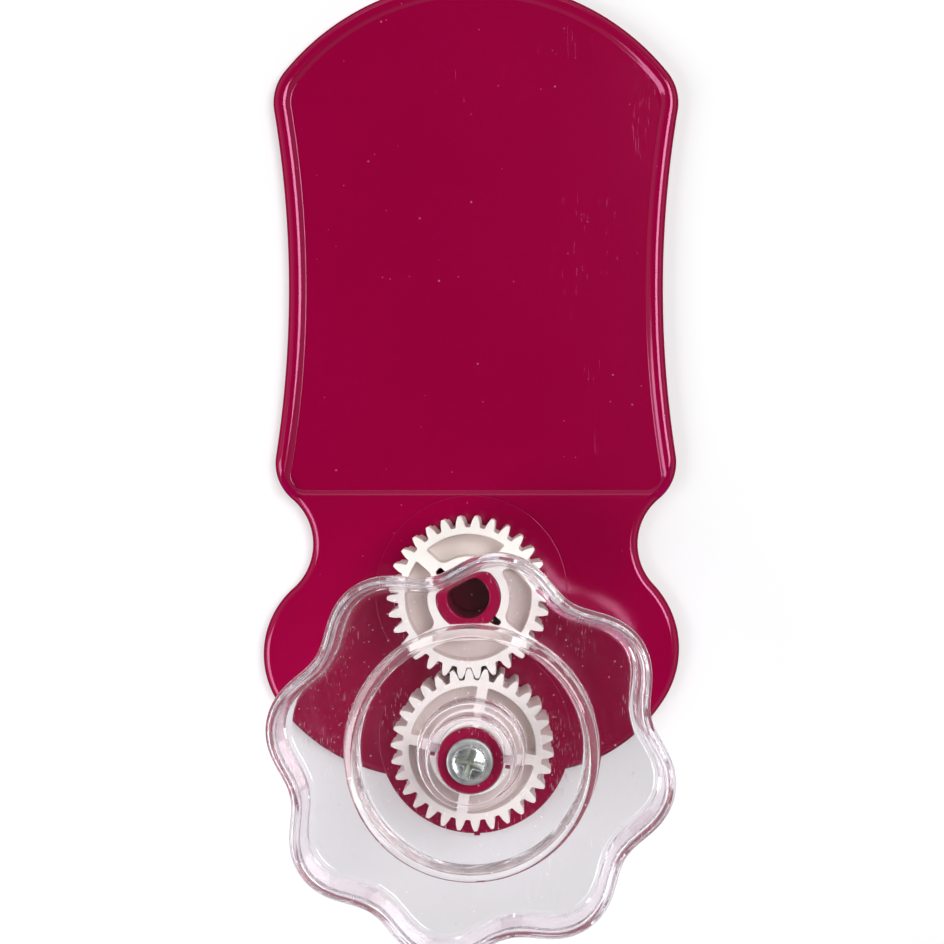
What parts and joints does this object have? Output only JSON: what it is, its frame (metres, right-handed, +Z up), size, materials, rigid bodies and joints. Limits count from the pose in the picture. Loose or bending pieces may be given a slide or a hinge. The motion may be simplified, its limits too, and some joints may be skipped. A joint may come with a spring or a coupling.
{
  "type": "hand-turned paper crimper",
  "caption": "Handheld paper strip crimper: flat handle plate with finger waists and posts, meshed crimping gears stacked on them, and a clear scalloped knob that turns the gears.",
  "frame": {"origin": "centre of the footprint, on the underside of the handle plate", "axes": "+Z up out of the front of the plate along both gear posts, +Y along the plate towards the handle's end, +X across the plate"},
  "size_m": [0.0718, 0.1634, 0.0345],
  "materials": {
    "plate": "moulded, semi-gloss magenta",
    "gear": "moulded, satin white",
    "clear": "clear, polished",
    "zinc": "bright zinc plate"
  },
  "bodies": {
    "base": {"base_plate": "plate", "screw_washer": "zinc", "retaining_screw": "zinc"},
    "drive": {"knob": "clear", "coarse_drive_gear": "gear", "fine_drive_gear": "gear"},
    "coarse_idler": {"coarse_idler_gear": "gear"},
    "fine_idler": {"fine_idler_gear": "gear"}
  },
  "joints": [
    {"name": "knob_turn", "type": "hinge", "parent": "base", "child": "drive", "pos_m": [0.00069, -0.04888, 0.012], "axis": [0, 0, 1], "continuous": true},
    {"name": "coarse_idler_spin", "type": "hinge", "parent": "base", "child": "coarse_idler", "pos_m": [0.00004, -0.02389, 0.015], "axis": [0, 0, 1], "continuous": true},
    {"name": "fine_idler_spin", "type": "hinge", "parent": "base", "child": "fine_idler", "pos_m": [0.00004, -0.02389, 0.008], "axis": [0, 0, 1], "continuous": true}
  ],
  "couplings": [
    {"joint": "coarse_idler_spin", "follows": "knob_turn", "ratio": -1},
    {"joint": "fine_idler_spin", "follows": "knob_turn", "ratio": -1}
  ]
}
